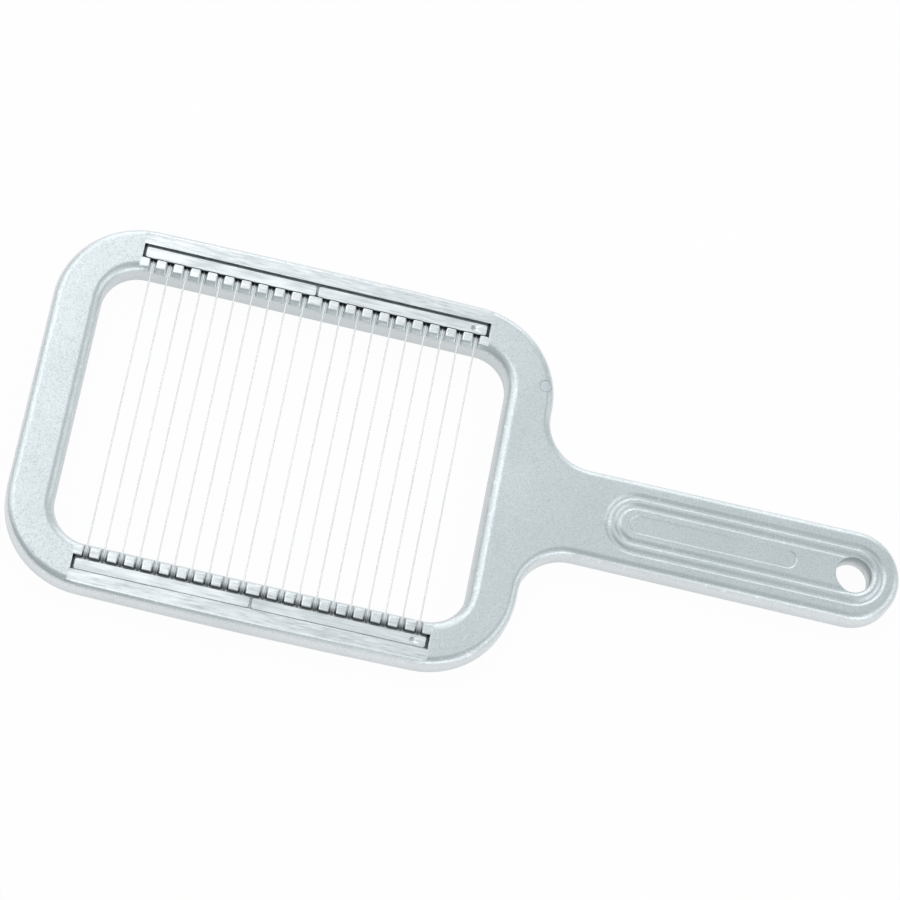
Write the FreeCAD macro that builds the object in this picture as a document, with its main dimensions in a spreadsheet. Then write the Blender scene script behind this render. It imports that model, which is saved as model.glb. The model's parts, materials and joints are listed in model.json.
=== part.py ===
import FreeCAD, Part
import math
import os

import Sketcher

# Hand-held wire slicer: a cast frame with a handle, strung with cutting wires.
# Every body is drawn about the centre of the wire field, at mid thickness of the casting,
# with +X towards the handle and +Z out of the toothed face, and is then placed so that
# the origin is under the middle of the whole tool.

WIRES_PER_SIDE = 10

# Driving dimensions in millimetres.
DRIVING_SIZES = (
    ("thickness", 8.1),
    ("frame_length", 147.8),
    ("frame_width", 112.6),
    ("side_bow", 1.0),
    ("frame_corner_radius", 26.0),
    ("end_width", 14.0),
    ("rail_width", 13.9),
    ("opening_corner_radius", 11.0),
    ("face_edge_radius", 2.5),
    ("opening_edge_radius", 3.2),
    ("back_edge_chamfer", 0.6),
    ("neck_radius", 14.0),
    ("handle_root_half_width", 13.5),
    ("handle_end_radius", 13.9),
    ("handle_reach", 182.5),
    ("hanging_hole_radius", 5.4),
    ("hole_from_end", 13.8),
    ("relief_start", 103.8),
    ("outer_relief_half_width", 8.5),
    ("inner_relief_half_width", 5.5),
    ("relief_depth", 0.5),
    ("relief_mouth_width", 2.2),
    ("relief_floor_width", 0.5),
    ("field_start", 104.6),
    ("field_end", 148.8),
    ("field_half_width", 2.9),
    ("field_depth", 0.3),
    ("field_slope_width", 0.4),
    ("band_depth", 0.4),
    ("band_half_length", 51.9),
    ("groove_half_length", 51.55),
    ("outer_land_width", 5.3),
    ("groove_width", 4.3),
    ("notch_depth", 1.45),
    ("notch_mouth_width", 2.15),
    ("notch_floor_width", 1.2),
    ("wire_pitch", 5.0),
    ("middle_spacing", 6.1),
    ("wire_diameter", 0.5),
    ("wire_seat_gap", 0.03),
    ("wire_end_gap", 0.6),
    ("strip_thickness", 0.45),
    ("strip_side_gap", 0.45),
    ("strip_shift", 0.18),
    ("strip_end_gap", 0.8),
    ("strip_joint_gap", 0.5),
    ("strip_corner_clip", 0.45),
    ("strip_edge_chamfer", 0.15),
    ("stake_from_end", 4.1),
    ("stake_radius", 0.8),
    ("stake_depth", 0.25),
    ("pin_mark_x", 70.6),
    ("pin_mark_y", 35.6),
    ("pin_mark_radius", 1.7),
    ("pin_mark_depth", 0.12),
)

# Sizes that follow from the driving ones.
DERIVED_SIZES = (
    ("half_thickness", "=thickness / 2"),
    ("half_length", "=frame_length / 2"),
    ("half_width", "=frame_width / 2"),
    ("end_half_width", "=half_width - side_bow"),
    ("bow_radius", "=(half_length * half_length + side_bow * side_bow) / (2 * side_bow)"),
    ("opening_half_length", "=half_length - end_width"),
    ("opening_half_width", "=half_width - rail_width"),
    ("handle_start", "=(half_length + opening_half_length) / 2"),
    ("handle_end_centre", "=handle_reach - handle_end_radius"),
    ("hole_x", "=handle_reach - hole_from_end"),
    ("middle_x", "=(handle_reach - half_length) / 2"),
    ("field_draft", "=-atan(field_slope_width / field_depth)"),
    ("band_height", "=half_thickness - band_depth"),
    ("band_inner", "=opening_half_width / 2"),
    ("groove_outer", "=half_width - outer_land_width"),
    ("groove_inner", "=groove_outer - groove_width"),
    ("first_wire_x", "=middle_spacing / 2"),
    ("notch_run", "=2 * groove_inner + groove_width"),
    ("notch_span", "=wire_pitch * {}".format(WIRES_PER_SIDE - 1)),
    ("wire_radius", "=wire_diameter / 2"),
    ("wire_height", "=band_height - notch_depth + wire_seat_gap + wire_radius"),
    ("wire_length", "=2 * (groove_outer - wire_end_gap)"),
    ("strip_bottom", "=wire_height + wire_radius + wire_seat_gap"),
    ("strip_width", "=groove_width - 2 * strip_side_gap"),
    ("strip_half_width", "=strip_width / 2"),
    ("strip_length", "=groove_half_length - strip_end_gap - strip_joint_gap / 2"),
    ("strip_half_length", "=strip_length / 2"),
    ("strip_x", "=(strip_joint_gap + strip_length) / 2"),
    ("strip_y", "=groove_inner + groove_width / 2"),
    ("stake_x", "=strip_half_length - stake_from_end"),
    ("stake_tip_height", "=strip_thickness - stake_depth"),
)

doc = FreeCAD.newDocument("wire_slicer")
sheet = doc.addObject("Spreadsheet::Sheet", "sizes")


def fill_sheet(rows):
    for row, (alias, content) in enumerate(rows, start=1):
        sheet.set("A{}".format(row), alias)
        sheet.set("B{}".format(row), str(content))
        sheet.setAlias("B{}".format(row), alias)
    doc.recompute()


def size(alias):
    return float(sheet.get(alias))


def add_body(label):
    body = doc.addObject("PartDesign::Body", label)
    body.Label = label
    return body


def origin_plane(body, role):
    return next(feature for feature in body.Origin.OriginFeatures if feature.Role == role)


def add_sketch(body, name, role="XY_Plane", height=None):
    sketch = body.newObject("Sketcher::SketchObject", name)
    sketch.AttachmentSupport = (origin_plane(body, role), [""])
    sketch.MapMode = "FlatFace"
    if height:
        sketch.setExpression("AttachmentOffset.Base.z", "sizes." + height)
    return sketch


def bind(sketch, alias, kind, *references):
    name = "{}_{}".format(alias, sketch.ConstraintCount)
    index = sketch.addConstraint(Sketcher.Constraint(kind, *references, size(alias)))
    sketch.renameConstraint(index, name)
    sketch.setExpression("Constraints." + name, "sizes." + alias)


def hold_point(sketch, geometry, vertex, axis, alias, sign):
    """Keep one vertex at a signed distance from the sketch origin along X or Y."""
    ends = (-1, 1, geometry, vertex) if sign > 0 else (geometry, vertex, -1, 1)
    bind(sketch, alias, "Distance" + axis, *ends)


def join(sketch, kind, pairs):
    for first, first_end, second, second_end in pairs:
        sketch.addConstraint(Sketcher.Constraint(kind, first, first_end, second, second_end))


def draw_rectangle(sketch, left, right, bottom, top):
    """Each side is (alias, sign): a signed distance from the sketch origin."""
    x_low, x_high, y_low, y_high = (sign * size(alias) for alias, sign in (left, right, bottom, top))
    corners = [(x_low, y_low), (x_high, y_low), (x_high, y_high), (x_low, y_high)]
    points = [FreeCAD.Vector(x, y, 0) for x, y in corners]
    for index in range(4):
        sketch.addGeometry(Part.LineSegment(points[index], points[(index + 1) % 4]))
    join(sketch, "Coincident", [(index, 2, (index + 1) % 4, 1) for index in range(4)])
    for index, kind in enumerate(("Horizontal", "Vertical", "Horizontal", "Vertical")):
        sketch.addConstraint(Sketcher.Constraint(kind, index))
    hold_point(sketch, 0, 1, "X", *left)
    hold_point(sketch, 0, 1, "Y", *bottom)
    hold_point(sketch, 2, 1, "X", *right)
    hold_point(sketch, 2, 1, "Y", *top)


def draw_circle(sketch, radius, x, y, y_sign=1):
    """Circle about (x, y); a coordinate given as None lies on the other axis."""
    centre = FreeCAD.Vector(size(x) if x else 0, y_sign * size(y) if y else 0, 0)
    circle = sketch.addGeometry(Part.Circle(centre, FreeCAD.Vector(0, 0, 1), size(radius)))
    bind(sketch, radius, "Radius", circle)
    for axis, alias, sign, other_axis in (("X", x, 1, -2), ("Y", y, y_sign, -1)):
        if alias:
            hold_point(sketch, circle, 3, axis, alias, sign)
        else:
            sketch.addConstraint(Sketcher.Constraint("PointOnObject", circle, 3, other_axis))


def arc(centre_x, centre_y, radius, start, end):
    circle = Part.Circle(FreeCAD.Vector(centre_x, centre_y, 0), FreeCAD.Vector(0, 0, 1), radius)
    return Part.ArcOfCircle(circle, start, end)


def draw_racetrack(sketch, start, end, half_width):
    """Closed slot shape on the X axis, with its end arcs centred at start and end."""
    near, far, radius = size(start), size(end), size(half_width)
    quarter = math.pi / 2
    sketch.addGeometry(arc(far, 0, radius, -quarter, quarter))
    sketch.addGeometry(Part.LineSegment(FreeCAD.Vector(far, radius, 0), FreeCAD.Vector(near, radius, 0)))
    sketch.addGeometry(arc(near, 0, radius, quarter, 3 * quarter))
    sketch.addGeometry(Part.LineSegment(FreeCAD.Vector(near, -radius, 0), FreeCAD.Vector(far, -radius, 0)))
    join(sketch, "Tangent", [(0, 2, 1, 1), (1, 2, 2, 1), (2, 2, 3, 1), (3, 2, 0, 1)])
    for index, alias in ((0, end), (2, start)):
        sketch.addConstraint(Sketcher.Constraint("PointOnObject", index, 3, -1))
        hold_point(sketch, index, 3, "X", alias, 1)
    bind(sketch, half_width, "Radius", 0)
    sketch.addConstraint(Sketcher.Constraint("Equal", 0, 2))


def add_pad(body, sketch, length, symmetric=False):
    pad = body.newObject("PartDesign::Pad", sketch.Name + "_pad")
    pad.Profile = sketch
    pad.SideType = "Symmetric" if symmetric else "One side"
    pad.setExpression("Length", "sizes." + length)
    doc.recompute()
    return pad


def add_pocket(body, sketch, depth=None, symmetric=False):
    """Cut to a depth, to half of it on either side of the sketch, or right through if no depth is given."""
    pocket = body.newObject("PartDesign::Pocket", sketch.Name + "_pocket")
    pocket.Profile = sketch
    pocket.SideType = "Symmetric" if symmetric or not depth else "One side"
    if depth:
        pocket.setExpression("Length", "sizes." + depth)
    else:
        pocket.Type = "ThroughAll"
    doc.recompute()
    return pocket


def add_mirror(body, features, role):
    mirrored = body.newObject("PartDesign::Mirrored", features[0].Name + "_mirrored")
    mirrored.Originals = features
    mirrored.MirrorPlane = (origin_plane(body, role), [""])
    body.Tip = mirrored
    doc.recompute()
    return mirrored


def finish_edges(body, kind, alias, chosen):
    """Round (Fillet) or bevel (Chamfer) each edge of the body so far for which chosen(edge) is true."""
    base = body.Tip
    edges = enumerate(base.Shape.Edges, start=1)
    names = ["Edge{}".format(number) for number, edge in edges if chosen(edge)]
    feature = body.newObject("PartDesign::" + kind, "{}_{}".format(body.Name, alias))
    feature.Base = (base, names)
    feature.setExpression("Radius" if kind == "Fillet" else "Size", "sizes." + alias)
    doc.recompute()


def is_upright(edge):
    ends = [vertex.Point for vertex in edge.Vertexes]
    return len(ends) == 2 and math.hypot(ends[0].x - ends[1].x, ends[0].y - ends[1].y) < 1e-6


def upright_at(x, y):
    """Chooser for upright edges at plus or minus x and plus or minus y."""
    def chosen(edge):
        point = edge.Vertexes[0].Point
        return is_upright(edge) and abs(abs(point.x) - x) < 1e-3 and abs(abs(point.y) - y) < 1e-3
    return chosen


def level_at(height):
    """Chooser for edges that lie flat at one height."""
    def chosen(edge):
        box = edge.BoundBox
        return abs(box.ZMin - height) < 1e-6 and abs(box.ZMax - height) < 1e-6
    return chosen


def in_opening(edge):
    box = edge.BoundBox
    return (max(abs(box.XMin), abs(box.XMax)) < size("opening_half_length") + 1e-3
            and max(abs(box.YMin), abs(box.YMax)) < size("opening_half_width") + 1e-3)


def draw_frame_plan(sketch):
    """Rectangle whose two long sides bow outwards."""
    half_length, end_half_width, radius = size("half_length"), size("end_half_width"), size("bow_radius")
    spread = math.asin(half_length / radius)
    centre_y = size("half_width") - radius
    low_right = FreeCAD.Vector(half_length, -end_half_width, 0)
    high_right = FreeCAD.Vector(half_length, end_half_width, 0)
    low_left = FreeCAD.Vector(-half_length, -end_half_width, 0)
    high_left = FreeCAD.Vector(-half_length, end_half_width, 0)
    quarter = math.pi / 2
    sketch.addGeometry(Part.LineSegment(low_right, high_right))
    sketch.addGeometry(arc(0, centre_y, radius, quarter - spread, quarter + spread))
    sketch.addGeometry(Part.LineSegment(high_left, low_left))
    sketch.addGeometry(arc(0, -centre_y, radius, 3 * quarter - spread, 3 * quarter + spread))
    join(sketch, "Coincident", [(0, 2, 1, 1), (1, 2, 2, 1), (2, 2, 3, 1), (3, 2, 0, 1)])
    for index, sign in ((0, 1), (2, -1)):
        sketch.addConstraint(Sketcher.Constraint("Vertical", index))
        hold_point(sketch, index, 1, "X", "half_length", sign)
        hold_point(sketch, index, 1, "Y", "end_half_width", -sign)
        hold_point(sketch, index, 2, "Y", "end_half_width", sign)
    for index in (1, 3):
        bind(sketch, "bow_radius", "Radius", index)


def draw_handle_plan(sketch):
    """Handle that widens from the neck to a round end."""
    start, root, radius = size("handle_start"), size("handle_root_half_width"), size("handle_end_radius")
    centre = size("handle_end_centre")
    run = math.hypot(centre - start, root)
    lean = math.acos(radius / run) + math.atan2(root, centre - start)
    touch = FreeCAD.Vector(centre - radius * math.cos(lean), radius * math.sin(lean), 0)
    high_root, low_root = FreeCAD.Vector(start, root, 0), FreeCAD.Vector(start, -root, 0)
    sketch.addGeometry(arc(centre, 0, radius, lean - math.pi, math.pi - lean))
    sketch.addGeometry(Part.LineSegment(touch, high_root))
    sketch.addGeometry(Part.LineSegment(high_root, low_root))
    sketch.addGeometry(Part.LineSegment(low_root, FreeCAD.Vector(touch.x, -touch.y, 0)))
    join(sketch, "Tangent", [(0, 2, 1, 1), (3, 2, 0, 1)])
    join(sketch, "Coincident", [(1, 2, 2, 1), (2, 2, 3, 1)])
    sketch.addConstraint(Sketcher.Constraint("Vertical", 2))
    sketch.addConstraint(Sketcher.Constraint("PointOnObject", 0, 3, -1))
    hold_point(sketch, 0, 3, "X", "handle_end_centre", 1)
    bind(sketch, "handle_end_radius", "Radius", 0)
    hold_point(sketch, 2, 1, "X", "handle_start", 1)
    hold_point(sketch, 2, 1, "Y", "handle_root_half_width", 1)
    hold_point(sketch, 2, 2, "Y", "handle_root_half_width", -1)


def draw_tapered_section(sketch, centre_x, mouth_height, depth, mouth_width, floor_width):
    """Section of a groove that narrows from its mouth to its floor, about an upright centre line."""
    centre, mouth, floor = size(centre_x), size(mouth_width) / 2, size(floor_width) / 2
    high = size(mouth_height)
    low = high - size(depth)
    corners = [(centre - floor, low), (centre + floor, low), (centre + mouth, high), (centre - mouth, high)]
    points = [FreeCAD.Vector(x, y, 0) for x, y in corners]
    for index in range(4):
        sketch.addGeometry(Part.LineSegment(points[index], points[(index + 1) % 4]))
    centre_line = Part.LineSegment(FreeCAD.Vector(centre, low, 0), FreeCAD.Vector(centre, high, 0))
    axis = sketch.addGeometry(centre_line, True)
    join(sketch, "Coincident", [(index, 2, (index + 1) % 4, 1) for index in range(4)])
    for index, vertex in ((0, 1), (2, 2)):
        sketch.addConstraint(Sketcher.Constraint("Symmetric", index, 1, index, 2, axis))
        sketch.addConstraint(Sketcher.Constraint("PointOnObject", axis, vertex, index))
    sketch.addConstraint(Sketcher.Constraint("Vertical", axis))
    hold_point(sketch, axis, 2, "X", centre_x, 1)
    hold_point(sketch, axis, 2, "Y", mouth_height, 1)
    bind(sketch, depth, "DistanceY", axis, 1, axis, 2)
    bind(sketch, floor_width, "DistanceX", 0, 1, 0, 2)
    bind(sketch, mouth_width, "DistanceX", 2, 2, 2, 1)


def add_relief_groove(body, half_width):
    """Tapered groove on the handle's face, along a racetrack round the hanging hole."""
    path = add_sketch(body, half_width + "_path", height="half_thickness")
    draw_racetrack(path, "relief_start", "hole_x", half_width)
    section = add_sketch(body, half_width + "_section", role="YZ_Plane", height="relief_start")
    draw_tapered_section(section, half_width, "half_thickness", "relief_depth",
                         "relief_mouth_width", "relief_floor_width")
    groove = body.newObject("PartDesign::SubtractivePipe", half_width + "_groove")
    groove.Profile = section
    groove.Spine = (path, [])
    doc.recompute()
    return groove


def build_casting():
    body = add_body("frame_casting")
    frame_plan = add_sketch(body, "frame_plan")
    draw_frame_plan(frame_plan)
    add_pad(body, frame_plan, "thickness", symmetric=True)
    handle_plan = add_sketch(body, "handle_plan")
    draw_handle_plan(handle_plan)
    add_pad(body, handle_plan, "thickness", symmetric=True)
    frame_corners = upright_at(size("half_length"), size("end_half_width"))
    finish_edges(body, "Fillet", "frame_corner_radius", frame_corners)
    neck_limit = size("handle_end_radius") + size("handle_root_half_width")
    finish_edges(body, "Fillet", "neck_radius", lambda edge: is_upright(edge)
                 and abs(edge.Vertexes[0].X - size("half_length")) < 1e-3
                 and abs(edge.Vertexes[0].Y) < neck_limit)

    opening = add_sketch(body, "opening")
    draw_rectangle(opening, ("opening_half_length", -1), ("opening_half_length", 1),
                   ("opening_half_width", -1), ("opening_half_width", 1))
    add_pocket(body, opening)
    opening_corners = upright_at(size("opening_half_length"), size("opening_half_width"))
    finish_edges(body, "Fillet", "opening_corner_radius", opening_corners)
    at_face = level_at(size("half_thickness"))
    finish_edges(body, "Fillet", "face_edge_radius", lambda edge: at_face(edge) and not in_opening(edge))
    finish_edges(body, "Fillet", "opening_edge_radius", lambda edge: at_face(edge) and in_opening(edge))
    finish_edges(body, "Chamfer", "back_edge_chamfer", level_at(-size("half_thickness")))

    # Each rail's face is ground to a flat band, then grooved; the lower rail is the mirror of the upper.
    band = add_sketch(body, "band", height="half_thickness")
    draw_rectangle(band, ("band_half_length", -1), ("band_half_length", 1),
                   ("band_inner", 1), ("frame_width", 1))
    band_cut = add_pocket(body, band, "band_depth")
    groove = add_sketch(body, "groove", height="band_height")
    draw_rectangle(groove, ("groove_half_length", -1), ("groove_half_length", 1),
                   ("groove_inner", 1), ("groove_outer", 1))
    groove_cut = add_pocket(body, groove, "notch_depth")
    add_mirror(body, [band_cut, groove_cut], "XZ_Plane")

    # One tapered notch cut runs across both rails; it repeats at the wire pitch, on both sides of the middle.
    notch = add_sketch(body, "notch", role="XZ_Plane")
    draw_tapered_section(notch, "first_wire_x", "band_height", "notch_depth",
                         "notch_mouth_width", "notch_floor_width")
    notch_cut = add_pocket(body, notch, "notch_run", symmetric=True)
    repeat_notch(body, notch, notch_cut)

    # The handle has the same two relief grooves on its face and its back.
    relief_names = ("outer_relief_half_width", "inner_relief_half_width")
    add_mirror(body, [add_relief_groove(body, name) for name in relief_names], "XY_Plane")
    field = add_sketch(body, "field", height="half_thickness")
    draw_racetrack(field, "field_start", "field_end", "field_half_width")
    field_cut = add_pocket(body, field, "field_depth")
    field_cut.setExpression("TaperAngle", "sizes.field_draft")
    doc.recompute()
    pin_mark = add_sketch(body, "pin_mark", height="half_thickness")
    draw_circle(pin_mark, "pin_mark_radius", "pin_mark_x", "pin_mark_y")
    add_pocket(body, pin_mark, "pin_mark_depth")
    hanging_hole = add_sketch(body, "hanging_hole")
    draw_circle(hanging_hole, "hanging_hole_radius", "hole_x", None)
    add_pocket(body, hanging_hole)
    place(body, "-sizes.middle_x", "0", "sizes.half_thickness")
    return body


def repeat_notch(body, sketch, cut):
    transform = body.newObject("PartDesign::MultiTransform", "notches")
    row = body.newObject("PartDesign::LinearPattern", "notch_row")
    row.Direction = (sketch, ["H_Axis"])
    row.setExpression("Length", "sizes.notch_span")
    row.Occurrences = WIRES_PER_SIDE
    other_side = body.newObject("PartDesign::Mirrored", "notch_row_mirrored")
    other_side.MirrorPlane = (origin_plane(body, "YZ_Plane"), [""])
    transform.Originals = [cut]
    transform.Transformations = [row, other_side]
    body.Tip = transform
    doc.recompute()


def place(item, x, y, z):
    for axis, expression in (("x", x), ("y", y), ("z", z)):
        item.setExpression("Placement.Base." + axis, expression)


def build_strip(label, x_sign, y_sign):
    """Flat strip in a groove, on the wire ends; a strip on the handle side is staked near its end."""
    body = add_body(label)
    plan = add_sketch(body, label + "_plan")
    draw_rectangle(plan, ("strip_half_length", -1), ("strip_half_length", 1),
                   ("strip_half_width", -1), ("strip_half_width", 1))
    add_pad(body, plan, "strip_thickness")
    finish_edges(body, "Chamfer", "strip_corner_clip", is_upright)
    finish_edges(body, "Chamfer", "strip_edge_chamfer", level_at(size("strip_thickness")))
    if x_sign > 0:
        stake = body.newObject("PartDesign::SubtractiveCone", label + "_stake")
        stake.AttachmentSupport = (origin_plane(body, "XY_Plane"), [""])
        stake.MapMode = "FlatFace"
        stake.setExpression("AttachmentOffset.Base.x", "sizes.stake_x")
        stake.setExpression("AttachmentOffset.Base.z", "sizes.stake_tip_height")
        stake.Radius1 = 0
        stake.setExpression("Radius2", "sizes.stake_radius")
        stake.setExpression("Height", "sizes.stake_depth")
        doc.recompute()
    place(body, "{} * sizes.strip_x - sizes.middle_x".format(x_sign),
          "{} * sizes.strip_y - sizes.strip_shift".format(y_sign),
          "sizes.half_thickness + sizes.strip_bottom")
    return body


def build_wire(label, position):
    """Cutting wire; position counts out from the middle tooth, negative on the side away from the handle."""
    wire = doc.addObject("Part::Cylinder", label)
    wire.Label = label
    wire.setExpression("Radius", "sizes.wire_radius")
    wire.setExpression("Height", "sizes.wire_length")
    wire.Placement.Rotation = FreeCAD.Rotation(FreeCAD.Vector(1, 0, 0), 90)
    side = 1 if position > 0 else -1
    steps = abs(position) - 1
    x = "{} * (sizes.first_wire_x + {} * sizes.wire_pitch) - sizes.middle_x".format(side, steps)
    place(wire, x, "sizes.wire_length / 2", "sizes.half_thickness + sizes.wire_height")
    return wire


def check_document(bodies):
    for item in doc.Objects:
        if "Invalid" in item.State or "Error" in item.State:
            raise RuntimeError("{} failed: {}".format(item.Label, item.State))
    for body in bodies:
        if body.Shape.isNull() or not body.Shape.isValid() or len(body.Shape.Solids) != 1:
            raise RuntimeError("{} is not one valid solid".format(body.Label))


fill_sheet(DRIVING_SIZES + DERIVED_SIZES)
parts = [build_casting()]
for y_name, y_side in (("upper", 1), ("lower", -1)):
    for x_name, x_side in (("left", -1), ("right", 1)):
        parts.append(build_strip("clamp_strip_{}_{}".format(y_name, x_name), x_side, y_side))
wire_positions = [*range(-WIRES_PER_SIDE, 0), *range(1, WIRES_PER_SIDE + 1)]
for number, wire_position in enumerate(wire_positions, start=1):
    parts.append(build_wire("wire_{:02d}".format(number), wire_position))
doc.recompute()
check_document(parts)
os.makedirs("parts", exist_ok=True)
for part in parts:
    part.Shape.exportStep("parts/{}.step".format(part.Label))
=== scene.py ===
# Hand-held wire slicer for eggs, dressed for looks: a cast frame with a handle, strung with cutting wires
# that clamp strips hold down behind the teeth of its rails.
import json
import math

import bpy
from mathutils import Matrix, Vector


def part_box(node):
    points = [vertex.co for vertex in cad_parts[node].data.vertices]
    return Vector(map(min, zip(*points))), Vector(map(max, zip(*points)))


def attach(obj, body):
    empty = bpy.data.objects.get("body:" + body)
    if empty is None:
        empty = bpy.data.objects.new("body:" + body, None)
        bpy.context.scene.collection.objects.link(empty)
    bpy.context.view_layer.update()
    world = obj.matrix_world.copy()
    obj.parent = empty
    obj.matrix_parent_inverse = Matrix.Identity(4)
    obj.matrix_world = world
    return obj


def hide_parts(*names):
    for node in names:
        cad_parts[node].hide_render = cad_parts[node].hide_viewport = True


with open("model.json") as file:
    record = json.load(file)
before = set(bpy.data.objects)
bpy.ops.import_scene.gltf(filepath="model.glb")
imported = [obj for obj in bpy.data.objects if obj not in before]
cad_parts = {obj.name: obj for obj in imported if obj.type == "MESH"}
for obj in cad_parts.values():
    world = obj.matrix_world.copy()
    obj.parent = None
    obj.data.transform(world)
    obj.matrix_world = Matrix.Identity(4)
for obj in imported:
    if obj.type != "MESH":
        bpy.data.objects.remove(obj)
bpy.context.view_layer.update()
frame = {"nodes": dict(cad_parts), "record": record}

# Frame casting: one die-cast aluminium piece with its handle, left with the fine-grained satin skin of the
# mould and flash along its edges, painted with bright glints. The face of either rail is ground flat across
# the teeth, which leaves long scratches and a brighter surface.
WELD_DISTANCE = 0.000002
SMOOTH_ANGLE = math.radians(22)


def weld_copy(node, name):
    """Copy of a node's solid with its facets joined, ready to be worked on."""
    piece = bpy.data.objects.new(name, frame["nodes"][node].data.copy())
    bpy.context.scene.collection.objects.link(piece)
    bpy.ops.object.select_all(action="DESELECT")
    piece.select_set(True)
    bpy.context.view_layer.objects.active = piece
    bpy.ops.mesh.customdata_custom_splitnormals_clear()
    bpy.ops.object.mode_set(mode="EDIT")
    bpy.ops.mesh.select_all(action="SELECT")
    bpy.ops.mesh.remove_doubles(threshold=WELD_DISTANCE)
    bpy.ops.object.mode_set(mode="OBJECT")
    piece.data.materials.clear()
    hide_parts(node)
    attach(piece, "root")
    return piece


def smooth_rounds(piece):
    """Shade round edges smoothly and keep flat faces flat up to their creases."""
    bpy.ops.object.select_all(action="DESELECT")
    piece.select_set(True)
    bpy.context.view_layer.objects.active = piece
    bpy.ops.object.shade_smooth_by_angle(angle=SMOOTH_ANGLE)
    flat_faces = piece.modifiers.new("flat_faces", "WEIGHTED_NORMAL")
    flat_faces.keep_sharp = True
    bpy.ops.object.modifier_apply(modifier=flat_faces.name)


def new_metal(name):
    """Material with a metal shader; returns it with its node tree and shader."""
    metal = bpy.data.materials.new(name)
    metal.use_nodes = True
    shader = metal.node_tree.nodes["Principled BSDF"]
    shader.inputs["Metallic"].default_value = 1.0
    return metal, metal.node_tree, shader


def finish_metal(tree, shader, colour, roughness, relief=None):
    """Give the shader its colour, its roughness and, where there is any, its relief."""
    tree.links.new(colour, shader.inputs["Base Color"])
    tree.links.new(roughness, shader.inputs["Roughness"])
    if relief:
        tree.links.new(relief, shader.inputs["Normal"])


def add_noise(tree, scale, stretch=(1.0, 1.0, 1.0), detail=2.0):
    """Noise on the piece's own coordinates, drawn out along an axis whose stretch is small."""
    place = tree.nodes.new("ShaderNodeTexCoord")
    mapping = tree.nodes.new("ShaderNodeMapping")
    mapping.inputs["Scale"].default_value = stretch
    noise = tree.nodes.new("ShaderNodeTexNoise")
    noise.inputs["Scale"].default_value = scale
    noise.inputs["Detail"].default_value = detail
    tree.links.new(place.outputs["Object"], mapping.inputs["Vector"])
    tree.links.new(mapping.outputs["Vector"], noise.inputs["Vector"])
    return noise.outputs["Fac"]


def add_range(tree, value, span, result=(0.0, 1.0)):
    """The value over its span, carried over to the result's two ends and held beyond them."""
    change = tree.nodes.new("ShaderNodeMapRange")
    for name, number in zip(("From Min", "From Max", "To Min", "To Max"), span + result):
        change.inputs[name].default_value = number
    tree.links.new(value, change.inputs["Value"])
    return change.outputs["Result"]


def add_product(tree, first, second):
    """The two values multiplied."""
    product = tree.nodes.new("ShaderNodeMath")
    product.operation = "MULTIPLY"
    tree.links.new(first, product.inputs[0])
    tree.links.new(second, product.inputs[1])
    return product.outputs["Value"]


def mix_colours(tree, amount, first, second):
    """Goes from the first colour to the second with the amount; a colour is a value or a node's output."""
    mix = tree.nodes.new("ShaderNodeMix")
    mix.data_type = "RGBA"
    tree.links.new(amount, mix.inputs["Factor"])
    for socket, colour in ((mix.inputs[6], first), (mix.inputs[7], second)):
        if isinstance(colour, tuple):
            socket.default_value = colour
        else:
            tree.links.new(colour, socket)
    return mix.outputs[2]


def add_bump(tree, height, depth, strength, under=None):
    """Relief of a real depth, laid over the relief given as under."""
    bump = tree.nodes.new("ShaderNodeBump")
    bump.inputs["Strength"].default_value = strength
    bump.inputs["Distance"].default_value = depth
    tree.links.new(height, bump.inputs["Height"])
    if under:
        tree.links.new(under, bump.inputs["Normal"])
    return bump.outputs["Normal"]


def add_place(tree, axis):
    """One of the piece's own coordinates, in metres."""
    place = tree.nodes.new("ShaderNodeTexCoord")
    axes = tree.nodes.new("ShaderNodeSeparateXYZ")
    tree.links.new(place.outputs["Object"], axes.inputs["Vector"])
    return axes.outputs[axis]


def add_offset(tree, axis):
    """Distance from the middle of the piece along one of its own axes."""
    offset = tree.nodes.new("ShaderNodeMath")
    offset.operation = "ABSOLUTE"
    tree.links.new(add_place(tree, axis), offset.inputs[0])
    return offset.outputs["Value"]


# The cast skin is grey with a fine dark grain and small sparkling spots; bright flecks along the edges are
# painted glints where flash catches the light.
CAST_LIGHT = (0.735, 0.772, 0.79, 1.0)
CAST_DARK = (0.69, 0.73, 0.747, 1.0)
GRAIN_AND_SHADE_COLOUR = (0.50, 0.545, 0.56, 1.0)
GLINT_COLOUR = (0.93, 0.94, 0.95, 1.0)
GRAIN_SCALE = 2400.0
MOTTLE_SCALE = 45.0
RIPPLE_SCALE = 420.0
SPARKLE_SCALE = 1900.0
FLECK_SCALE = 520.0
MOTTLE_SPAN = (0.35, 0.65)
PIT_SPAN = (0.50, 0.66)
PIT_SHARE = 0.55
SPARKLE_SPAN = (0.58, 0.68)
SPARKLE_SHARE = 0.38
FLECK_SPAN = (0.62, 0.69)
FLECK_SHARE = 0.6
ROUGH_SPAN = (0.3, 0.7)
CAST_ROUGHNESS = (0.36, 0.50)
CAST_RELIEF = 0.00006
GRAIN_STRENGTH = 0.42
RIPPLE_STRENGTH = 0.2

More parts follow.
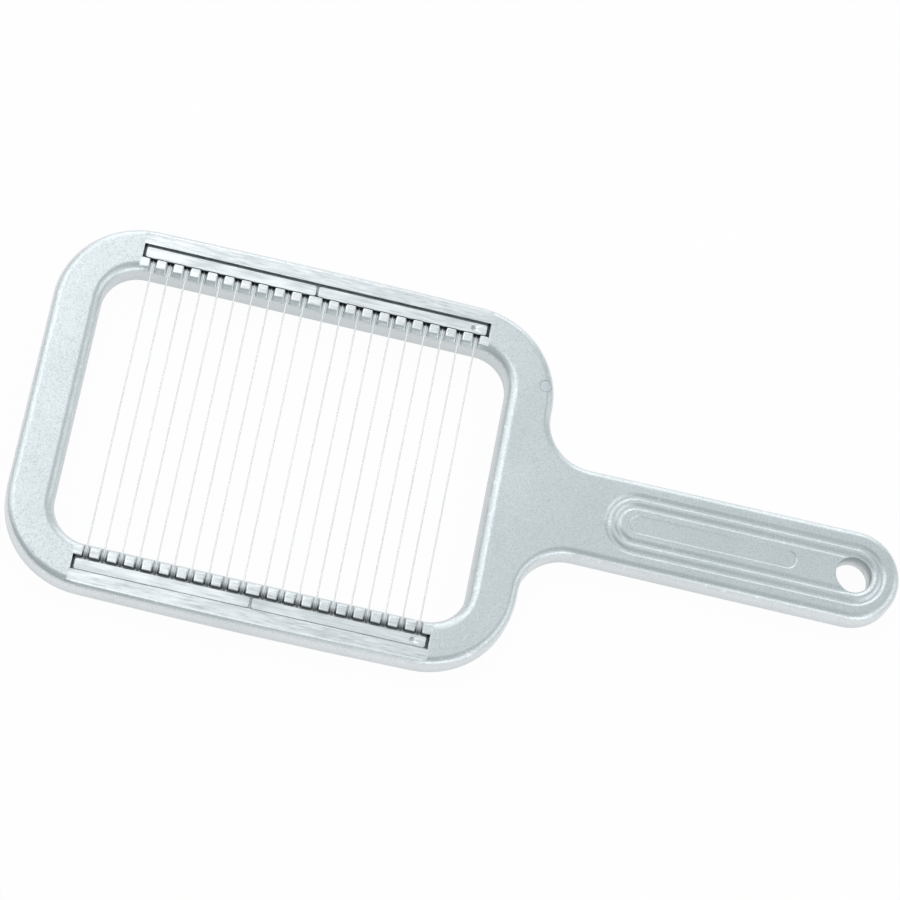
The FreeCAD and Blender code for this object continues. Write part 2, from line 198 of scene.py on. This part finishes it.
cast_skin, tree, shader = new_metal("cast_skin")
grain = add_noise(tree, GRAIN_SCALE, detail=3.0)
mottle = add_noise(tree, MOTTLE_SCALE, detail=4.0)
ripple = add_noise(tree, RIPPLE_SCALE)
cast_colour = mix_colours(tree, add_range(tree, mottle, MOTTLE_SPAN), CAST_LIGHT, CAST_DARK)
pits = add_range(tree, grain, PIT_SPAN, (0.0, PIT_SHARE))
cast_colour = mix_colours(tree, pits, cast_colour, GRAIN_AND_SHADE_COLOUR)
sparkle = add_range(tree, add_noise(tree, SPARKLE_SCALE), SPARKLE_SPAN, (0.0, SPARKLE_SHARE))
cast_colour = mix_colours(tree, sparkle, cast_colour, GLINT_COLOUR)

# The rounded edges and the walls are told apart by how far the surface faces up: 1 is level, 0 upright.
EDGE_TOP = (0.985, 0.93)
EDGE_FOOT = (0.15, 0.35)
WALL_TOP = (0.75, 0.45)
WALL_FOOT = (-0.9, -0.6)
POLISH_SPAN = (0.84, 0.70)
POLISH = (1.0, 0.80)

facing = tree.nodes.new("ShaderNodeSeparateXYZ")
geometry = tree.nodes.new("ShaderNodeNewGeometry")
tree.links.new(geometry.outputs["Normal"], facing.inputs["Vector"])
upward = facing.outputs["Z"]
on_edge = add_product(tree, add_range(tree, upward, EDGE_TOP), add_range(tree, upward, EDGE_FOOT))
# Painted highlight: glints on the flash along the rounded edges.
edge_glints = add_range(tree, add_noise(tree, FLECK_SCALE, detail=4.0), FLECK_SPAN, (0.0, FLECK_SHARE))
cast_colour = mix_colours(tree, add_product(tree, on_edge, edge_glints), cast_colour, GLINT_COLOUR)
on_wall = add_product(tree, add_range(tree, upward, WALL_TOP), add_range(tree, upward, WALL_FOOT))

# The walls are painted darker towards the foot, a painted shade where they meet the floor, and those round
# the opening get more painted shade.
FOOT_SHADE_SPAN = (0.0, 0.0050)
FOOT_SHADE_SHARE = 0.5
OPENING_LEFT = (-0.1210, -0.1205)
OPENING_RIGHT = (0.0130, 0.0125)
OPENING_SIDE = (0.0440, 0.0436)
OPENING_SHADE_SHARE = 0.45

foot_shade = add_range(tree, add_place(tree, "Z"), FOOT_SHADE_SPAN, (FOOT_SHADE_SHARE, 0.0))
cast_colour = mix_colours(tree, add_product(tree, on_wall, foot_shade), cast_colour, GRAIN_AND_SHADE_COLOUR)
between_ends = add_product(tree, add_range(tree, add_place(tree, "X"), OPENING_LEFT),
                           add_range(tree, add_place(tree, "X"), OPENING_RIGHT))
shade_between_rails = add_range(tree, add_offset(tree, "Y"), OPENING_SIDE, (0.0, OPENING_SHADE_SHARE))
opening_shade = add_product(tree, shade_between_rails, between_ends)
cast_colour = mix_colours(tree, add_product(tree, on_wall, opening_shade), cast_colour, GRAIN_AND_SHADE_COLOUR)

# A pin of the mould leaves a round mark on the face; the faint dark line round it is painted shade of the
# groove at its edge, with dirt settled in it.
PIN_MARK_PLACE = (0.0163, 0.0356, 0.0081)
PIN_MARK_RADIUS = 0.0018
PIN_MARK_LINE = 0.0003

pin_place = tree.nodes.new("ShaderNodeTexCoord")
from_pin = tree.nodes.new("ShaderNodeVectorMath")
from_pin.operation = "DISTANCE"
from_pin.inputs[1].default_value = PIN_MARK_PLACE
tree.links.new(pin_place.outputs["Object"], from_pin.inputs[0])
line_inside = (PIN_MARK_RADIUS - PIN_MARK_LINE, PIN_MARK_RADIUS)
line_outside = (PIN_MARK_RADIUS, PIN_MARK_RADIUS + PIN_MARK_LINE)
pin_line_shade_and_dirt = add_product(tree, add_range(tree, from_pin.outputs["Value"], line_inside),
                       add_range(tree, from_pin.outputs["Value"], line_outside, (1.0, 0.0)))
cast_colour = mix_colours(tree, pin_line_shade_and_dirt, cast_colour, GRAIN_AND_SHADE_COLOUR)
cast_roughness = add_product(tree, add_range(tree, upward, POLISH_SPAN, POLISH),
                             add_range(tree, grain, ROUGH_SPAN, CAST_ROUGHNESS))
cast_relief = add_bump(tree, grain, CAST_RELIEF, GRAIN_STRENGTH,
                       under=add_bump(tree, ripple, CAST_RELIEF, RIPPLE_STRENGTH))
finish_metal(tree, shader, cast_colour, cast_roughness, cast_relief)

# The ground bands carry long scratches and passes of the wheel, and the upper teeth are painted brighter, a
# painted highlight on the rail nearer the lights at the back.
GROUND_LIGHT = (0.785, 0.81, 0.825, 1.0)
GROUND_DARK = (0.50, 0.535, 0.55, 1.0)
BRIGHT_METAL_AND_HIGHLIGHT_COLOUR = (0.93, 0.945, 0.955, 1.0)
SCRATCH_SCALE = 2300.0
SCRATCH_STRETCH = (0.10, 1.0, 0.3)
PASS_SCALE = 700.0
PASS_STRETCH = (0.09, 1.0, 0.3)
WORN_SPAN = (0.42, 0.72)
WORN_SHARE = 0.38
SCORED_SPAN = (0.56, 0.66)
SCORED_SHARE = 0.65
BRIGHT_SPAN = (0.45, 0.36)
BRIGHT_SHARE = 0.7
TOOTH_SIDE = (0.0466, 0.0463)
UPPER_SIDE = (-0.01, 0.01)
UPPER_TEETH_HIGHLIGHT_SHARE = 0.3
GROUND_ROUGHNESS = (0.32, 0.46)
SCRATCH_DEPTH = 0.00005
SCRATCH_STRENGTH = 0.35
PASS_DEPTH = 0.00006
PASS_STRENGTH = 0.3

ground_face, tree, shader = new_metal("ground_face")
scratches = add_noise(tree, SCRATCH_SCALE, stretch=SCRATCH_STRETCH, detail=4.0)
passes = add_noise(tree, PASS_SCALE, stretch=PASS_STRETCH, detail=3.0)
worn = add_range(tree, passes, WORN_SPAN, (0.0, WORN_SHARE))
ground_colour = mix_colours(tree, worn, GROUND_LIGHT, GROUND_DARK)
scored = add_range(tree, scratches, SCORED_SPAN, (0.0, SCORED_SHARE))
ground_colour = mix_colours(tree, scored, ground_colour, GROUND_DARK)
bright = add_range(tree, scratches, BRIGHT_SPAN, (0.0, BRIGHT_SHARE))
ground_colour = mix_colours(tree, bright, ground_colour, BRIGHT_METAL_AND_HIGHLIGHT_COLOUR)
upper_teeth_highlight = add_product(tree, add_range(tree, add_offset(tree, "Y"), TOOTH_SIDE),
                     add_range(tree, add_place(tree, "Y"), UPPER_SIDE, (0.0, UPPER_TEETH_HIGHLIGHT_SHARE)))
ground_colour = mix_colours(tree, upper_teeth_highlight, ground_colour, BRIGHT_METAL_AND_HIGHLIGHT_COLOUR)
ground_relief = add_bump(tree, scratches, SCRATCH_DEPTH, SCRATCH_STRENGTH,
                         under=add_bump(tree, passes, PASS_DEPTH, PASS_STRENGTH))
finish_metal(tree, shader, ground_colour, add_range(tree, passes, ROUGH_SPAN, GROUND_ROUGHNESS),
             ground_relief)

# Painted shade blackens the deep gaps behind the teeth, the back of the notches and the ends of the grooves
# past the strips, where little light reaches.
GAP_SHADE = (0.06, 0.068, 0.072, 1.0)
UPPER_TOOTH_BACK = (0.0458, 0.0464)
UPPER_GROOVE_FADE = (0.0475, 0.0490)
UPPER_FAR_SHARE = 0.35
LOWER_NOTCH = (-0.0463, -0.0445)
LOWER_NOTCH_SHARE = 0.85
LOWER_TOOTH_BACK = (-0.0469, -0.0464)
LOWER_GROOVE_FADE = (-0.0500, -0.0475)
LOWER_FAR_SHARE = 0.05
GROOVE_SIDE = (0.0460, 0.0466)
GROOVE_END_SHARE = 0.9
GROOVE_END_BLUR = 0.0002

strip_low, strip_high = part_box("clamp_strip_upper_left")
row_start = strip_low.x
row_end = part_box("clamp_strip_upper_right")[1].x


def add_gap_shade(tree, colour, shade_share):
    """The colour, blackened with painted shade in the deep gaps and notches; the share given goes on behind
    the lower teeth.
    """
    across = add_place(tree, "Y")
    along = add_place(tree, "X")
    upper = add_product(tree, add_range(tree, across, UPPER_TOOTH_BACK),
                        add_range(tree, across, UPPER_GROOVE_FADE, (1.0, UPPER_FAR_SHARE)))
    lower = add_product(tree, add_range(tree, across, LOWER_NOTCH, (LOWER_NOTCH_SHARE, 0.0)),
                        add_range(tree, across, LOWER_TOOTH_BACK, (shade_share, 1.0)))
    lower = add_product(tree, lower, add_range(tree, across, LOWER_GROOVE_FADE, (LOWER_FAR_SHARE, 1.0)))
    in_groove = add_range(tree, add_offset(tree, "Y"), GROOVE_SIDE, (0.0, GROOVE_END_SHARE))
    before_row = (row_start - GROOVE_END_BLUR, row_start + GROOVE_END_BLUR)
    after_row = (row_end - GROOVE_END_BLUR, row_end + GROOVE_END_BLUR)
    left_end = add_product(tree, in_groove, add_range(tree, along, before_row, (1.0, 0.0)))
    right_end = add_product(tree, in_groove, add_range(tree, along, after_row))
    for shade_amount in (upper, lower, left_end, right_end):
        colour = mix_colours(tree, shade_amount, colour, GAP_SHADE)
    return colour


# The cutter that opens the grooves and notches leaves chatter marks.
CUT_LIGHT = (0.81, 0.835, 0.85, 1.0)
CUT_DARK = (0.65, 0.68, 0.70, 1.0)
CHATTER_SCALE = 3000.0
CHATTER_STRETCH = (1.0, 0.05, 1.0)
CHATTER_SPAN = (0.4, 0.7)
CUT_SHADE_SHARE = 0.4
CUT_ROUGHNESS = (0.42, 0.56)
CHATTER_DEPTH = 0.00003
CHATTER_STRENGTH = 0.3

rail_cut, tree, shader = new_metal("rail_cut")
chatter = add_noise(tree, CHATTER_SCALE, stretch=CHATTER_STRETCH)
cut_colour = mix_colours(tree, add_range(tree, chatter, CHATTER_SPAN), CUT_LIGHT, CUT_DARK)
# The cut faces carry the painted shade of the gaps, notches and groove ends.
cut_colour = add_gap_shade(tree, cut_colour, CUT_SHADE_SHARE)
finish_metal(tree, shader, cut_colour, add_range(tree, chatter, ROUGH_SPAN, CUT_ROUGHNESS),
             add_bump(tree, chatter, CHATTER_DEPTH, CHATTER_STRENGTH))

# The hanging hole's wall has rings from the drill and is painted darker towards the face, a painted shade
# inside the hole.
BORE_LIGHT = (0.70, 0.75, 0.76, 1.0)
BORE_DARK = (0.20, 0.235, 0.245, 1.0)
BORE_SHADE_HEIGHT = (0.0020, 0.0055)
BORE_SHADE_SHARE = 0.8
RING_SCALE = 2600.0
RING_STRETCH = (0.15, 0.15, 1.0)
RING_SPAN = (0.35, 0.65)
RING_SHARE = 0.4
BORE_ROUGHNESS = (0.35, 0.5)
RING_DEPTH = 0.00005
RING_STRENGTH = 0.3

bored_wall, tree, shader = new_metal("bored_wall")
rings = add_noise(tree, RING_SCALE, stretch=RING_STRETCH)
painted_bore_shade = add_range(tree, add_place(tree, "Z"), BORE_SHADE_HEIGHT, (0.0, BORE_SHADE_SHARE))
bore_colour = mix_colours(tree, painted_bore_shade, BORE_LIGHT, BORE_DARK)
bore_colour = mix_colours(tree, add_range(tree, rings, RING_SPAN, (0.0, RING_SHARE)), bore_colour, BORE_DARK)
finish_metal(tree, shader, bore_colour, add_range(tree, rings, ROUGH_SPAN, BORE_ROUGHNESS),
             add_bump(tree, rings, RING_DEPTH, RING_STRENGTH))

# A narrow rim along the outer edge of each ground band is painted bright, a painted highlight where the edge
# catches the light, with a few nicks.
NICK_SCALE = 900.0
NICK_SPAN = (0.45, 0.65)
NICK_SHARE = 0.7
RIM_ROUGHNESS = (0.32, 0.44)

painted_rim_highlight, tree, shader = new_metal("painted_rim_highlight")
nicks = add_noise(tree, NICK_SCALE, detail=3.0)
nicked = add_range(tree, nicks, NICK_SPAN, (0.0, NICK_SHARE))
rim_highlight_colour = mix_colours(tree, nicked, BRIGHT_METAL_AND_HIGHLIGHT_COLOUR, GROUND_LIGHT)
finish_metal(tree, shader, rim_highlight_colour, add_range(tree, nicks, ROUGH_SPAN, RIM_ROUGHNESS))

# Each face of the casting gets the finish of the tool that made it.
CAST, GROUND, BORE, CUT, RIM = range(5)
LEVEL = 0.99
UPRIGHT = 0.01
NOTCH_SIDE = 0.85
GROUND_DEPTH = 0.0004
GROUND_SLACK = GROUND_DEPTH / 10
WIRE_SEAT = 0.00005
RAIL_START = 0.040
RAIL_MARGIN = 0.001


def is_cut(normal):
    """True for the floor and the steep walls that a cutter leaves, false for a cast round."""
    return normal.z > LEVEL or abs(normal.x) > NOTCH_SIDE or abs(normal.y) > LEVEL


casting = weld_copy("frame_casting", "frame_skin")
for finish in (cast_skin, ground_face, bored_wall, rail_cut, painted_rim_highlight):
    casting.data.materials.append(finish)
band_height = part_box("frame_casting")[1].z - GROUND_DEPTH
groove_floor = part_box("wire_01")[0].z - WIRE_SEAT
hole = next(mount for mount in frame["record"]["mounts"] if mount["name"] == "hanging_hole")
hole_radius = hole["dims"]["r_mm"] / 1000
for face in casting.data.polygons:
    from_hole = math.hypot(face.center.x - hole["pos_m"][0], face.center.y - hole["pos_m"][1])
    in_rail = RAIL_START < abs(face.center.y) < strip_high.y + RAIL_MARGIN
    if face.normal.z > LEVEL and abs(face.center.z - band_height) < GROUND_SLACK:
        face.material_index = GROUND
    elif in_rail and groove_floor < face.center.z < band_height and is_cut(face.normal):
        face.material_index = CUT
    elif abs(face.normal.z) < UPRIGHT and from_hole < hole_radius:
        face.material_index = BORE

# The outer edges of the teeth are rounded off, all but those at the notches' floors and the rows' corners.
TOOTH_ROUNDING = 0.00033
TOOTH_STEPS = 5
TOOTH_CREASE = math.radians(22)
BY_EDGE = (False, True, False)
BY_FACE = (False, False, True)


def is_notch_floor(face):
    return face.material_index == CUT and face.normal.z > LEVEL


def is_tooth(face):
    cut_side = face.material_index == CUT and face.normal.z < LEVEL
    return (face.material_index == GROUND or cut_side) and abs(face.center.y) < strip_low.y


def tooth_edges(piece):
    """Sharp edges that stand out and have a tooth on one side or both."""
    first_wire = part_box("wire_01")[0].x
    last_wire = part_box("wire_20")[1].x
    sides = {}
    for face in piece.data.polygons:
        for edge in face.edge_keys:
            sides.setdefault(edge, []).append(face)
    chosen = set()
    for edge, (one, other) in sides.items():
        sharp = one.normal.dot(other.normal) < math.cos(TOOTH_CREASE)
        stands_out = one.normal.dot(other.center - one.center) < 0.0
        on_tooth = is_tooth(one) or is_tooth(other)
        at_floor = is_notch_floor(one) or is_notch_floor(other)
        past_row = not first_wire < piece.data.vertices[edge[0]].co.x < last_wire
        on_corner = past_row and CAST in (one.material_index, other.material_index)
        if sharp and stands_out and on_tooth and not at_floor and not on_corner:
            chosen.add(edge)
    return chosen


def clear_selection(select_mode):
    """Leave nothing of the active piece selected, ready for its edges or faces to be chosen."""
    bpy.context.tool_settings.mesh_select_mode = select_mode
    bpy.ops.object.mode_set(mode="EDIT")
    bpy.ops.mesh.select_all(action="DESELECT")
    bpy.ops.object.mode_set(mode="OBJECT")


rounded_edges = tooth_edges(casting)
clear_selection(BY_EDGE)
for edge in casting.data.edges:
    edge.select = edge.key in rounded_edges
bpy.ops.object.mode_set(mode="EDIT")
bpy.ops.mesh.bevel(offset=TOOTH_ROUNDING, segments=TOOTH_STEPS, affect="EDGES")
bpy.ops.mesh.select_all(action="SELECT")
bpy.ops.mesh.remove_doubles(threshold=WELD_DISTANCE)
bpy.ops.object.mode_set(mode="OBJECT")

# The rim with the painted highlight is marked out along the outer edge of each ground band.
RIM_WIDTH = 0.0004
RIM_FROM_STRIP = 0.002

clear_selection(BY_FACE)
for face in casting.data.polygons:
    face.select = face.material_index == GROUND and abs(face.center.y) > strip_high.y
bpy.ops.object.mode_set(mode="EDIT")
bpy.ops.mesh.inset(thickness=RIM_WIDTH, use_select_inset=True)
bpy.ops.object.mode_set(mode="OBJECT")
for face in casting.data.polygons:
    at_rim = abs(face.center.y) > strip_high.y + RIM_FROM_STRIP
    if face.select and at_rim and row_start < face.center.x < row_end:
        face.material_index = RIM
smooth_rounds(casting)

# Cutting wires: straight lengths of drawn stainless wire, stretched across the opening from notch to notch,
# with their ends under the clamp strips. Drawing leaves fine lines along them.
WIRE_LIGHT = (0.93, 0.923, 0.915, 1.0)
WIRE_DARK = (0.88, 0.872, 0.865, 1.0)
DRAWN_SCALE = 6000.0
DRAWN_STRETCH = (1.0, 0.01, 1.0)
DRAWN_SPAN = (0.35, 0.65)
WIRE_SHADE_SHARE = 1.0
WIRE_ROUGHNESS = (0.46, 0.58)
DRAWN_DEPTH = 0.00001
DRAWN_STRENGTH = 0.05

drawn_wire, tree, shader = new_metal("drawn_wire")
drawn_lines = add_noise(tree, DRAWN_SCALE, stretch=DRAWN_STRETCH)
wire_colour = mix_colours(tree, add_range(tree, drawn_lines, DRAWN_SPAN), WIRE_LIGHT, WIRE_DARK)
# The wire ends in the grooves carry the same painted shade as the gaps round them.
wire_colour = add_gap_shade(tree, wire_colour, WIRE_SHADE_SHARE)
finish_metal(tree, shader, wire_colour, add_range(tree, drawn_lines, ROUGH_SPAN, WIRE_ROUGHNESS),
             add_bump(tree, drawn_lines, DRAWN_DEPTH, DRAWN_STRENGTH))

for node in sorted(name for name in frame["nodes"] if name.startswith("wire_")):
    wire = weld_copy(node, "drawn_" + node)
    smooth_rounds(wire)
    wire.data.materials.append(drawn_wire)

# Clamp strips: flat rolled strips laid on the wire ends in the rails' grooves and staked down with a punch.
# Rolling and rubbing leave them scratched lengthwise and unevenly dull.
STRIP_LIGHT = (0.84, 0.86, 0.875, 1.0)
STRIP_DARK = (0.54, 0.575, 0.59, 1.0)
ROLLING_SCALE = 2300.0
ROLLING_STRETCH = (0.05, 1.0, 1.0)
STAIN_SCALE = 260.0
STAIN_STRETCH = (0.35, 1.0, 1.0)
STAIN_SPAN = (0.38, 0.68)
STAIN_SHARE = 0.6
SCUFF_SPAN = (0.56, 0.66)
SCUFF_SHARE = 0.6
SHINE_SPAN = (0.44, 0.36)
SHINE_SHARE = 0.5
STRIP_ROUGHNESS = (0.32, 0.46)
ROLLING_DEPTH = 0.00003
ROLLING_STRENGTH = 0.35

rolled_strip, tree, shader = new_metal("rolled_strip")
rolling = add_noise(tree, ROLLING_SCALE, stretch=ROLLING_STRETCH, detail=4.0)
stains = add_noise(tree, STAIN_SCALE, stretch=STAIN_STRETCH, detail=4.0)
stained = add_range(tree, stains, STAIN_SPAN, (0.0, STAIN_SHARE))
strip_colour = mix_colours(tree, stained, STRIP_LIGHT, STRIP_DARK)
scuffed = add_range(tree, rolling, SCUFF_SPAN, (0.0, SCUFF_SHARE))
strip_colour = mix_colours(tree, scuffed, strip_colour, STRIP_DARK)
shiny = add_range(tree, rolling, SHINE_SPAN, (0.0, SHINE_SHARE))
strip_colour = mix_colours(tree, shiny, strip_colour, BRIGHT_METAL_AND_HIGHLIGHT_COLOUR)
finish_metal(tree, shader, strip_colour, add_range(tree, stains, ROUGH_SPAN, STRIP_ROUGHNESS),
             add_bump(tree, rolling, ROLLING_DEPTH, ROLLING_STRENGTH))

# The punch marks and the strips' bevelled edges are duller than their rolled faces.
PUNCH_LIGHT = (0.66, 0.69, 0.70, 1.0)
PUNCH_DARK = (0.42, 0.45, 0.46, 1.0)
DENT_SCALE = 1500.0
DENT_SPAN = (0.35, 0.65)
PUNCH_ROUGHNESS = (0.45, 0.6)
ROLLED, PUNCHED = range(2)
STRIP_UPRIGHT = 0.02
STRIP_LEVEL = 0.999

punch_mark, tree, shader = new_metal("punch_mark")
dents = add_noise(tree, DENT_SCALE, detail=3.0)
punch_colour = mix_colours(tree, add_range(tree, dents, DENT_SPAN), PUNCH_LIGHT, PUNCH_DARK)
finish_metal(tree, shader, punch_colour, add_range(tree, dents, ROUGH_SPAN, PUNCH_ROUGHNESS))

for node in sorted(name for name in frame["nodes"] if name.startswith("clamp_strip_")):
    strip = weld_copy(node, "rolled_" + node)
    smooth_rounds(strip)
    for finish in (rolled_strip, punch_mark):
        strip.data.materials.append(finish)
    for face in strip.data.polygons:
        slopes = STRIP_UPRIGHT < abs(face.normal.z) < STRIP_LEVEL
        face.material_index = PUNCHED if slopes else ROLLED

# Studio: the slicer lies on a plain white floor under soft light that comes mostly from its far left side,
# and the camera looks down on it from the near side.
FLOOR_SIZE = 6.0
FLOOR_DROP = 0.0004
FLOOR_COLOUR = (0.92, 0.92, 0.92, 1.0)
FLOOR_ROUGHNESS = 0.9
FLOOR_WHITE = (1.0, 1.0, 1.0, 1.0)
FLOOR_WHITE_SHARE = 0.96


def add_either(tree, first, second):
    """1 where either of two values is 1."""
    either = tree.nodes.new("ShaderNodeMath")
    either.operation = "ADD"
    either.use_clamp = True
    tree.links.new(first, either.inputs[0])
    tree.links.new(second, either.inputs[1])
    return either.outputs["Value"]


bpy.ops.object.select_all(action="DESELECT")
bpy.ops.mesh.primitive_plane_add(size=FLOOR_SIZE, location=(0.0, 0.0, -FLOOR_DROP))
floor = bpy.context.object
floor.name = "floor"
white_floor = bpy.data.materials.new("white_floor")
white_floor.use_nodes = True
tree = white_floor.node_tree
shader = tree.nodes["Principled BSDF"]
shader.inputs["Base Color"].default_value = FLOOR_COLOUR
shader.inputs["Roughness"].default_value = FLOOR_ROUGHNESS
glow = tree.nodes.new("ShaderNodeEmission")
glow.inputs["Color"].default_value = FLOOR_WHITE
glow.inputs["Strength"].default_value = 1.0
path = tree.nodes.new("ShaderNodeLightPath")
mirrored = add_either(tree, path.outputs["Is Glossy Ray"], path.outputs["Is Transmission Ray"])
seen = add_either(tree, path.outputs["Is Camera Ray"], mirrored)
cover = tree.nodes.new("ShaderNodeMixShader")
tree.links.new(add_range(tree, seen, (0.0, 1.0), (0.0, FLOOR_WHITE_SHARE)), cover.inputs["Fac"])
tree.links.new(shader.outputs["BSDF"], cover.inputs[1])
tree.links.new(glow.outputs["Emission"], cover.inputs[2])
tree.links.new(cover.outputs["Shader"], tree.nodes["Material Output"].inputs["Surface"])
floor.data.materials.append(white_floor)

WORLD_LIGHT = (0.44, 0.484, 0.494, 1.0)

world = bpy.data.worlds.new("studio")
world.use_nodes = True
world.node_tree.nodes["Background"].inputs["Color"].default_value = WORLD_LIGHT
bpy.context.scene.world = world


def add_softbox(name, place, aim, width, height, brightness):
    """Rectangular soft light; its brightness is that of its surface, where 1 is white."""
    bpy.ops.object.light_add(type="AREA", location=place)
    lamp = bpy.context.object
    lamp.name = name
    lamp.data.shape = "RECTANGLE"
    lamp.data.size = width
    lamp.data.size_y = height
    lamp.data.energy = brightness * math.pi * width * height
    direction = [end - start for start, end in zip(place, aim)]
    flat = math.hypot(direction[0], direction[1])
    lamp.rotation_euler = (math.atan2(flat, -direction[2]), 0.0, math.atan2(-direction[0], direction[1]))


add_softbox("top_softbox", place=(-0.71, 0.75, 1.8), aim=(-0.05, 0.0, 0.0),
            width=1.5, height=1.3, brightness=1.40)
add_softbox("left_softbox", place=(-1.45, 0.5, 0.85), aim=(0.0, 0.0, 0.0),
            width=1.2, height=0.8, brightness=0.85)
add_softbox("back_softbox", place=(-0.1, 1.7, 0.6), aim=(0.0, 0.0, 0.0),
            width=2.2, height=1.2, brightness=1.20)
add_softbox("front_softbox", place=(0.85, -1.35, 0.5), aim=(0.05, 0.0, 0.0),
            width=1.5, height=0.8, brightness=1.22)
add_softbox("right_softbox", place=(1.3, 0.0, 0.85), aim=(0.05, 0.0, 0.0),
            width=1.6, height=1.1, brightness=0.85)

CAMERA_PLACE = (-0.1006, -0.42574, 1.09256)
CAMERA_TURN = (0.3580, -0.1564, 0.1837)
CAMERA_LENS = 163.25
CAMERA_SENSOR = 36.0
CAMERA_REACH = 20.0

camera_data = bpy.data.cameras.new("camera")
camera_data.lens = CAMERA_LENS
camera_data.sensor_width = CAMERA_SENSOR
camera_data.clip_end = CAMERA_REACH
camera = bpy.data.objects.new("camera", camera_data)
camera.location = CAMERA_PLACE
camera.rotation_euler = CAMERA_TURN
bpy.context.scene.collection.objects.link(camera)
bpy.context.scene.camera = camera
bpy.context.scene.view_settings.view_transform = "Standard"
